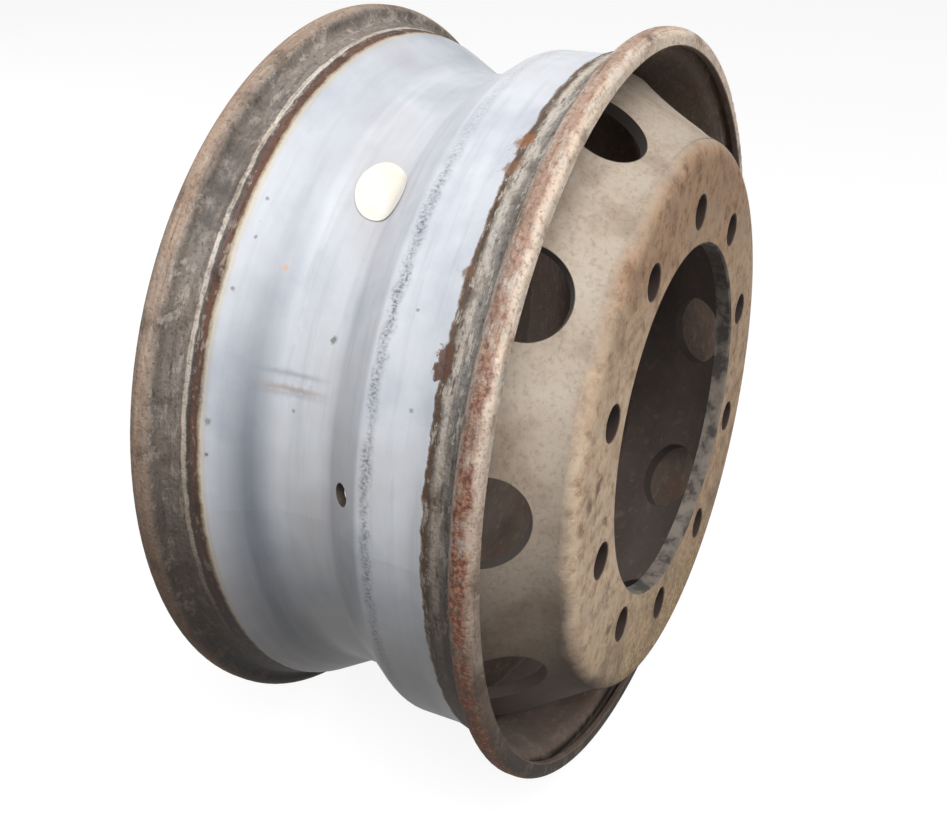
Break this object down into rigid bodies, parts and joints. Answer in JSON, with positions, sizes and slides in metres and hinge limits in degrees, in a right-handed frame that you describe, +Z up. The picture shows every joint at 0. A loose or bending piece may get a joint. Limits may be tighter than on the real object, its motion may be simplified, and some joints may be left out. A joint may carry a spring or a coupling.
{
  "type": "truck wheel rim",
  "caption": "Steel drop-centre truck wheel for a tubeless tyre: rolled rim and welded domed disc with hub bore, stud holes, round hand holes and a valve hole.",
  "frame": {"origin": "centre of the hub bore and stud circle, on the face of the disc that seats on the hub", "axes": "+Y along the wheel's spin axis, out of the domed side of the disc; +Z up as the wheel stands in use; +X forward"},
  "size_m": [0.5968, 0.2987, 0.5968],
  "materials": {
    "rim_paint": "worn silver paint",
    "disc_paint": "dusty, rusting paint",
    "weld_steel": "rough, rusty",
    "label_paper": "matt"
  },
  "bodies": {
    "root": {"rim": "rim_paint", "disc": "disc_paint", "disc_weld": "weld_steel", "round_label": "label_paper"}
  },
  "joints": []
}
